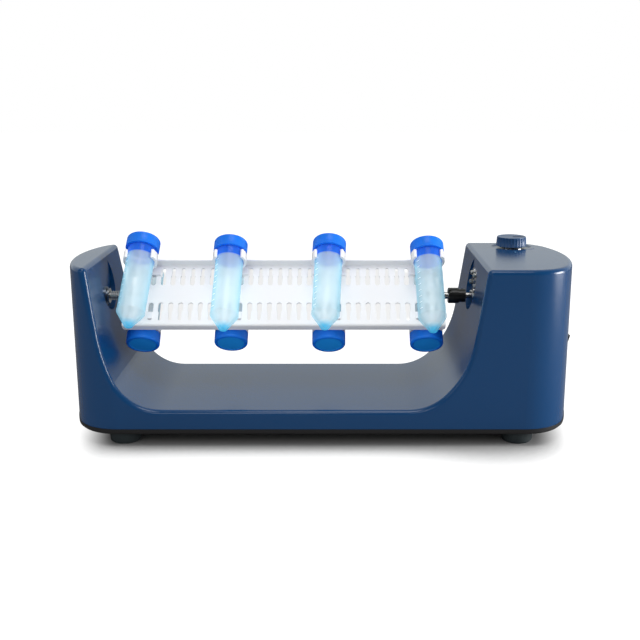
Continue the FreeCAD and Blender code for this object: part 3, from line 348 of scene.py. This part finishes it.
knob_low, knob_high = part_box("speed_knob")
knob_centre = (knob_low + knob_high) / 2
knob_rise = knob_high.z - knob_low.z
knob_place = Matrix.Translation((knob_centre.x, knob_centre.y, knob_low.z))
knob_roof = 0.0074
knob_columns = 120
knob = drawn_up("knob", knob_columns, [
    (0.0005, knob_roof), (0.0130, knob_roof), (0.0136, 0.0), (0.0156, 0.0), (0.0160, 0.0004),
    (0.01595, 0.0008), (0.01535, knob_rise - 0.0011), (0.0153, knob_rise - 0.0007),
    (0.0150, knob_rise - 0.0002), (0.0146, knob_rise), (0.0141, knob_rise - 0.0002),
    (0.0090, knob_rise - 0.00045), (0.0005, knob_rise - 0.0005)])
groove(knob, low=0.0007, high=knob_rise - 0.001, inside=0.0150, columns=knob_columns, run=2,
       depth=0.035)
put(knob, knob_place)
knob_blue = surface("knob_blue", (0.012, 0.055, 0.15), 0.36, speck=1200.0, depth=0.05,
                    specular=0.4)
knob.data.materials.append(knob_blue)
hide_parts("speed_knob")
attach(knob, "knob")

pointer_size = (0.0128, 0.0017, 0.0005)
pointer_reach = 0.0078
pointer_sunk = 0.00038
bpy.ops.object.select_all(action="DESELECT")
bpy.ops.mesh.primitive_cube_add(size=1, location=(0, 0, 0))
pointer = bpy.context.object
pointer.name = "knob_pointer"
bpy.ops.object.mode_set(mode="EDIT")
bpy.ops.transform.resize(value=pointer_size)
bpy.ops.transform.translate(value=(pointer_reach, 0, knob_rise - pointer_sunk))
bpy.ops.mesh.bevel(offset=0.00018, segments=2)
bpy.ops.object.mode_set(mode="OBJECT")
put(pointer, knob_place)
pointer.data.materials.append(surface("pointer_ink", (0.006, 0.014, 0.06), 0.4))
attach(pointer, "knob")

# Speed scale
# A generic scale printed on the tower beside the knob: a tapering band that swells towards
# fast, with a small dot where it starts.
scale_height = 0.1735
band_inside = 0.0236
band_spread = 1.10
band_start, band_growth = 0.0238, 0.0021
print_thickness = 0.00006
start_turn, end_turn = math.radians(-82), math.radians(-28)
bpy.ops.object.select_all(action="DESELECT")
bpy.ops.mesh.primitive_circle_add(vertices=120, radius=band_inside, location=(0, 0, 0))
speed_scale = bpy.context.object
speed_scale.name = "speed_scale"
bpy.ops.object.mode_set(mode="EDIT")
bpy.ops.mesh.select_all(action="SELECT")
bpy.ops.mesh.extrude_region_move(TRANSFORM_OT_translate={"value": (0, 0, 0)})
bpy.ops.transform.resize(value=(band_spread, band_spread, 1), center_override=(0, 0, 0))
bpy.ops.object.mode_set(mode="OBJECT")
pick(speed_scale, lambda co: not start_turn < math.atan2(co.y, co.x) < end_turn)
bpy.ops.mesh.delete(type="VERT")
bpy.ops.object.mode_set(mode="OBJECT")
outer_points = [v.co.copy() for v in speed_scale.data.vertices if v.co.xy.length > band_start]
for point in outer_points:
    share = (math.atan2(point.y, point.x) - start_turn) / (end_turn - start_turn)
    ratio = (band_start + band_growth * share) / point.xy.length
    pick(speed_scale, lambda co: (co - point).length < 0.00001)
    bpy.ops.transform.resize(value=(ratio, ratio, 1), center_override=(0, 0, 0))
    bpy.ops.object.mode_set(mode="OBJECT")
sheet = speed_scale.modifiers.new("print", "SOLIDIFY")
sheet.thickness = print_thickness
sheet.offset = 1
bpy.ops.object.modifier_apply(modifier="print")
put(speed_scale, Matrix.Translation((knob_centre.x, knob_centre.y, scale_height)))
scale_ink = surface("scale_ink", (0.008, 0.03, 0.13), 0.45)
speed_scale.data.materials.append(scale_ink)
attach(speed_scale, "stand")

dot_back, dot_out = 0.0016, 0.0345
scale_dot = drawn_up("scale_dot", 32, [
    (0.0002, 0.0), (0.0011, 0.0), (0.0012, 0.00004), (0.0010, 0.00007), (0.0002, 0.00007)])
dot_place = (knob_centre.x - dot_back, knob_centre.y - dot_out, scale_height)
put(scale_dot, Matrix.Translation(dot_place))
scale_dot.data.materials.append(surface("dot_ink", (0.12, 0.3, 0.5), 0.45))
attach(scale_dot, "stand")

# Drive shaft and coupling
# A ground steel shaft comes out of the pocket, carries a turned black coupling held by a
# grub screw, and turns the rotor by its cross pin.
ground_steel = surface("ground_steel", (0.42, 0.41, 0.40), 0.24, metallic=1.0, speck=3000.0)
dress(ground_steel, "drive_shaft", "drive_stub", "idler_stub", "pot_shaft")
black_oxide = surface("black_oxide", (0.004, 0.004, 0.0045), 0.3, speck=1800.0, depth=0.05,
                      specular=0.35)
dress(black_oxide, "coupling", "grub_screw", "drive_pin")
dress(zinc, "stub_screws")

# Idler bush and release spring
# On the left the rotor's stub runs in a flanged steel bush; a coil spring between a washer
# and the stub's collar pushes the rotor back into the coupling.
bush_steel = surface("bush_steel", (0.25, 0.29, 0.34), 0.3, metallic=1.0, speck=2200.0)
dress(bush_steel, "idler_bush", "bush_nut")
dress(surface("spring_steel", (0.5, 0.5, 0.5), 0.22, metallic=1.0), "return_spring")
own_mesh(nodes["return_spring"])

# Rotor plate
# Folded sheet steel with two rows of keyhole slots and a stiffening flange along each long
# edge, powder-coated white.
plate_white = surface("powder_white", (0.86, 0.86, 0.875), 0.42, speck=1500.0, depth=0.12,
                      shade=0.01, specular=0.4)
dress(plate_white, "rotor_plate")

# Tube clips
# Snap clips moulded in glossy white plastic with soft edges, each hooked into two slots and
# open away from the plate so that a tube is pushed in or pulled out.
clip_white = surface("clip_white", (0.84, 0.84, 0.87), 0.25, speck=600.0, shade=0.02)
clip_names = [f"clip_{side}_{k}" for side in ("front", "rear") for k in range(1, 5)]
dress(clip_white, *clip_names)
for name in clip_names:
    soft = nodes[name].modifiers.new("soft_edges", "BEVEL")
    soft.width = 0.0006
    soft.segments = 3
    soft.limit_method = "ANGLE"
    soft.angle_limit = math.radians(40)

# Tubes
# Conical 50 ml tubes moulded thin in milky polypropylene, with printed white graduation
# strokes; edges and solid tips are blue-cyan. They sit a little high, low or askew in the clips.
tilt = math.radians(43.0)
axis_height = 0.132
plate_middle = -0.00225
tube_gap = 0.02605
clip_height = 0.0266
slips = {"front": (0.0033, 0.0, 0.0013, -0.0017), "rear": (-0.0009, -0.0022, -0.0009, -0.0009)}
leans = {"front": (3.4, 1.6, 2.5, -1.2), "rear": (0.0, 0.0, 0.0, 0.0)}


def on_rotor(side, number):
    """Where a tube or cap modelled upright sits on the rotor, with its slip and its lean."""
    low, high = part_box(f"tube_{side}_{number}")
    turn = Matrix.Rotation(math.pi, 4, "X") if side == "rear" else Matrix.Identity(4)
    lean = Matrix.Rotation(math.radians(leans[side][number - 1]), 4, "Y")
    return (Matrix.Translation((0, 0, axis_height)) @ Matrix.Rotation(-tilt, 4, "X")
            @ Matrix.Translation((0, plate_middle, 0)) @ turn
            @ Matrix.Translation(((low.x + high.x) / 2, -tube_gap, clip_height)) @ lean
            @ Matrix.Translation((0, 0, slips[side][number - 1] - clip_height)))


def copy_of(master, name):
    """A copy of a master piece, with a mesh of its own."""
    piece = master.copy()
    piece.data = master.data.copy()
    piece.name = name
    bpy.context.collection.objects.link(piece)
    return piece


def milky(name):
    """Translucent tube wall: it lets light through, is denser and bluer at its edges and tip,
    and has the cap's blue, as seen through the wall, painted on its neck. The attribute rise is
    the height along the tube."""
    finish, tree = new_finish(name)
    skin = tree.nodes["Principled BSDF"]
    skin.inputs["Roughness"].default_value = 0.2
    rise = add(tree, "ShaderNodeAttribute", attribute_name="rise")
    tip = add(tree, "ShaderNodeMapRange", {"From Min": -0.0485, "From Max": -0.0535})
    neck = add(tree, "ShaderNodeMapRange", {"From Min": 0.0244, "From Max": 0.0254})
    rim = add(tree, "ShaderNodeLayerWeight", {"Blend": 0.35})
    wall_tint = add(tree, "ShaderNodeMixRGB",
                    {"Color1": (0.91, 0.99, 1.0, 1), "Color2": (0.22, 0.78, 1.0, 1)})
    tip_tint = add(tree, "ShaderNodeMixRGB", {"Color2": (0.10, 0.70, 1.0, 1)})
    # The cap's blue, seen through the wall, is painted on the neck, which is also made denser.
    neck_painted_cap_blue = add(tree, "ShaderNodeMixRGB", {"Color2": (0.05, 0.27, 0.95, 1)})
    place = add(tree, "ShaderNodeTexCoord")
    cloud = add(tree, "ShaderNodeTexNoise", {"Scale": 60.0})
    veil = add(tree, "ShaderNodeMapRange", {"To Min": 0.25, "To Max": 0.30})
    at_edge = add(tree, "ShaderNodeMath", {1: 0.35}, operation="MULTIPLY_ADD")
    at_tip = add(tree, "ShaderNodeMath", {1: 0.25}, operation="MULTIPLY_ADD")
    at_neck = add(tree, "ShaderNodeMath", {1: 0.5, 2: 1.0}, operation="MULTIPLY_ADD")
    dense = add(tree, "ShaderNodeMath", operation="MULTIPLY")
    rays = add(tree, "ShaderNodeLightPath")
    shadow_share = add(tree, "ShaderNodeMapRange", {"To Min": 1.0, "To Max": 0.10})
    cover = add(tree, "ShaderNodeMath", operation="MULTIPLY")
    through = add(tree, "ShaderNodeBsdfTranslucent")
    clear = add(tree, "ShaderNodeBsdfTransparent")
    glow = add(tree, "ShaderNodeMixShader")
    both = add(tree, "ShaderNodeMixShader", {"Fac": 0.5})
    link(tree,
         (rise.outputs["Fac"], tip.inputs["Value"]),
         (rise.outputs["Fac"], neck.inputs["Value"]),
         (rim.outputs["Facing"], wall_tint.inputs["Fac"]),
         (tip.outputs[0], tip_tint.inputs["Fac"]),
         (wall_tint.outputs["Color"], tip_tint.inputs["Color1"]),
         (neck.outputs[0], neck_painted_cap_blue.inputs["Fac"]),
         (tip_tint.outputs["Color"], neck_painted_cap_blue.inputs["Color1"]),
         (neck_painted_cap_blue.outputs["Color"], skin.inputs["Base Color"]),
         (neck_painted_cap_blue.outputs["Color"], through.inputs["Color"]),
         (place.outputs["Object"], cloud.inputs["Vector"]),
         (cloud.outputs["Fac"], veil.inputs["Value"]),
         (rim.outputs["Facing"], at_edge.inputs[0]),
         (veil.outputs[0], at_edge.inputs[2]),
         (tip.outputs[0], at_tip.inputs[0]),
         (at_edge.outputs[0], at_tip.inputs[2]),
         (neck.outputs[0], at_neck.inputs[0]),
         (at_tip.outputs[0], dense.inputs[0]),
         (at_neck.outputs[0], dense.inputs[1]),
         (rays.outputs["Is Shadow Ray"], shadow_share.inputs["Value"]),
         (dense.outputs[0], cover.inputs[0]),
         (shadow_share.outputs[0], cover.inputs[1]),
         (cover.outputs[0], skin.inputs["Alpha"]),
         (cover.outputs[0], glow.inputs["Fac"]),
         (clear.outputs[0], glow.inputs[1]),
         (through.outputs[0], glow.inputs[2]),
         (skin.outputs[0], both.inputs[1]),
         (glow.outputs[0], both.inputs[2]),
         (both.outputs[0], tree.nodes["Material Output"].inputs["Surface"]))
    return finish


mouth = 0.0437
tube_radius = 0.0139
thread_radius = 0.0144
tube_inside = [
    (0.0004, -0.0538), (0.0022, -0.0533), (0.0030, -0.0520), (0.0126, -0.0402), (0.0127, -0.0390),
    (0.0127, 0.0240), (0.0127, 0.0258), (0.0128, 0.0280), (0.0129, 0.0320), (0.0131, mouth)]
tube_outside = [
    (thread_radius, mouth), (thread_radius, 0.0352), (0.0150, 0.0348), (0.0150, 0.0340),
    (thread_radius, 0.0335), (thread_radius, 0.0320), (tube_radius, 0.0280), (tube_radius, 0.0258),
    (tube_radius, 0.0240), (tube_radius, -0.0100), (tube_radius, -0.0360), (0.0142, -0.0388),
    (0.0142, -0.0396), (0.01385, -0.0406), (0.0050, -0.0536), (0.0044, -0.0549), (0.0034, -0.0558),
    (0.0018, -0.0562), (0.0004, -0.0562)]
tube_master = drawn_up("tube_master", 64, tube_inside + tube_outside)
tube_rise = tube_master.data.attributes.new("rise", "FLOAT", "POINT")
tube_rise.data.foreach_set("value", [v.co.z for v in tube_master.data.vertices])
tube_master.data.materials.append(milky("tube_milky"))

stroke_count = 9
stroke_pitch = 0.0068
stroke_width = 0.00045
stroke_lift = 0.00004
lowest_stroke = -0.034
stroke_start, stroke_end = -61, -44
bpy.ops.object.select_all(action="DESELECT")
bpy.ops.mesh.primitive_cylinder_add(vertices=120, radius=tube_radius + stroke_lift,
                                    depth=stroke_width, end_fill_type="NOTHING",
                                    location=(0, 0, 0))
strokes_master = bpy.context.object
strokes_master.name = "strokes_master"
pick(strokes_master,
     lambda co: not stroke_start < math.degrees(math.atan2(co.x, -co.y)) < stroke_end)
bpy.ops.mesh.delete(type="VERT")
bpy.ops.mesh.select_all(action="SELECT")
bpy.ops.transform.translate(value=(0, 0, lowest_stroke))
bpy.ops.object.mode_set(mode="OBJECT")
row = strokes_master.modifiers.new("row", "ARRAY")
row.count = stroke_count
row.use_relative_offset = False
row.use_constant_offset = True
row.constant_offset_displace = (0, 0, stroke_pitch)
bpy.ops.object.modifier_apply(modifier="row")
film = strokes_master.modifiers.new("film", "SOLIDIFY")
film.thickness = 0.00005
bpy.ops.object.modifier_apply(modifier="film")
strokes_master.data.materials.append(surface("stroke_white", (0.9, 0.93, 0.95), 0.5))

for side in ("front", "rear"):
    for number in range(1, 5):
        place = on_rotor(side, number)
        wall = copy_of(tube_master, f"clear_tube_{side}_{number}")
        put(wall, place)
        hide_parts(f"tube_{side}_{number}")
        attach(wall, "rotor")
        strokes = copy_of(strokes_master, f"strokes_{side}_{number}")
        put(strokes, place)
        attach(strokes, "rotor")
bpy.data.objects.remove(tube_master)
bpy.data.objects.remove(strokes_master)

# Screw caps
# Blue moulded caps with close grip ribs, a rounded shoulder and a sunk disc in the end, painted
# lighter as if lit; they screw over the mouths of the tubes.
cap_radius = 0.0170
cap_top = 0.0457
cap_rim = 0.0335
cap_columns = 144
disc_radius = 0.01345
cap_master = drawn_up("cap_master", cap_columns, [
    (0.0004, mouth), (0.01465, mouth), (0.01465, cap_rim + 0.0003), (0.0149, cap_rim),
    (0.0166, cap_rim), (cap_radius, cap_rim + 0.0004), (cap_radius, cap_rim + 0.0008),
    (cap_radius, cap_top - 0.0026), (cap_radius, cap_top - 0.0020), (0.0168, cap_top - 0.0011),
    (0.0163, cap_top - 0.0004), (0.0155, cap_top), (0.0141, cap_top), (0.0137, cap_top - 0.0002),
    (0.0134, cap_top - 0.0007), (0.0004, cap_top - 0.0008)])
groove(cap_master, low=cap_rim + 0.0007, high=cap_top - 0.0025, inside=0.0160,
       columns=cap_columns, run=1, depth=0.024)
cap_disc = cap_master.data.attributes.new("disc", "FLOAT", "POINT")
cap_disc.data.foreach_set("value", [
    float(v.co.z > cap_top - 0.0009 and v.co.xy.length < disc_radius)
    for v in cap_master.data.vertices])
cap_blue = surface("cap_blue", (0.012, 0.25, 0.92), 0.34, speck=1200.0, depth=0.05, shade=0.04,
                   specular=0.38)
tree = cap_blue.node_tree
cap_skin = tree.nodes["Principled BSDF"]
cap_tone = cap_skin.inputs["Base Color"].links[0].from_socket
disc_place = add(tree, "ShaderNodeAttribute", attribute_name="disc")
# The sunk disc is painted a lighter blue, standing in for light falling on it.
disc_painted_light = add(tree, "ShaderNodeMixRGB", {"Color2": (0.015, 0.36, 1.0, 1)})
cap_share = add(tree, "ShaderNodeMapRange", {"To Min": 0.35, "To Max": 0.0})
cap_through = add(tree, "ShaderNodeBsdfTranslucent", {"Color": (0.01, 0.38, 1.0, 1)})
cap_both = add(tree, "ShaderNodeMixShader")
link(tree,
     (disc_place.outputs["Fac"], disc_painted_light.inputs["Fac"]),
     (cap_tone, disc_painted_light.inputs["Color1"]),
     (disc_painted_light.outputs["Color"], cap_skin.inputs["Base Color"]),
     (disc_place.outputs["Fac"], cap_share.inputs["Value"]),
     (cap_share.outputs[0], cap_both.inputs["Fac"]),
     (cap_skin.outputs[0], cap_both.inputs[1]),
     (cap_through.outputs[0], cap_both.inputs[2]),
     (cap_both.outputs[0], tree.nodes["Material Output"].inputs["Surface"]))
cap_master.data.materials.append(cap_blue)
for side in ("front", "rear"):
    for number in range(1, 5):
        lid = copy_of(cap_master, f"screw_cap_{side}_{number}")
        put(lid, on_rotor(side, number))
        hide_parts(f"cap_{side}_{number}")
        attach(lid, "rotor")
bpy.data.objects.remove(cap_master)

bpy.context.scene.view_settings.view_transform = "Standard"
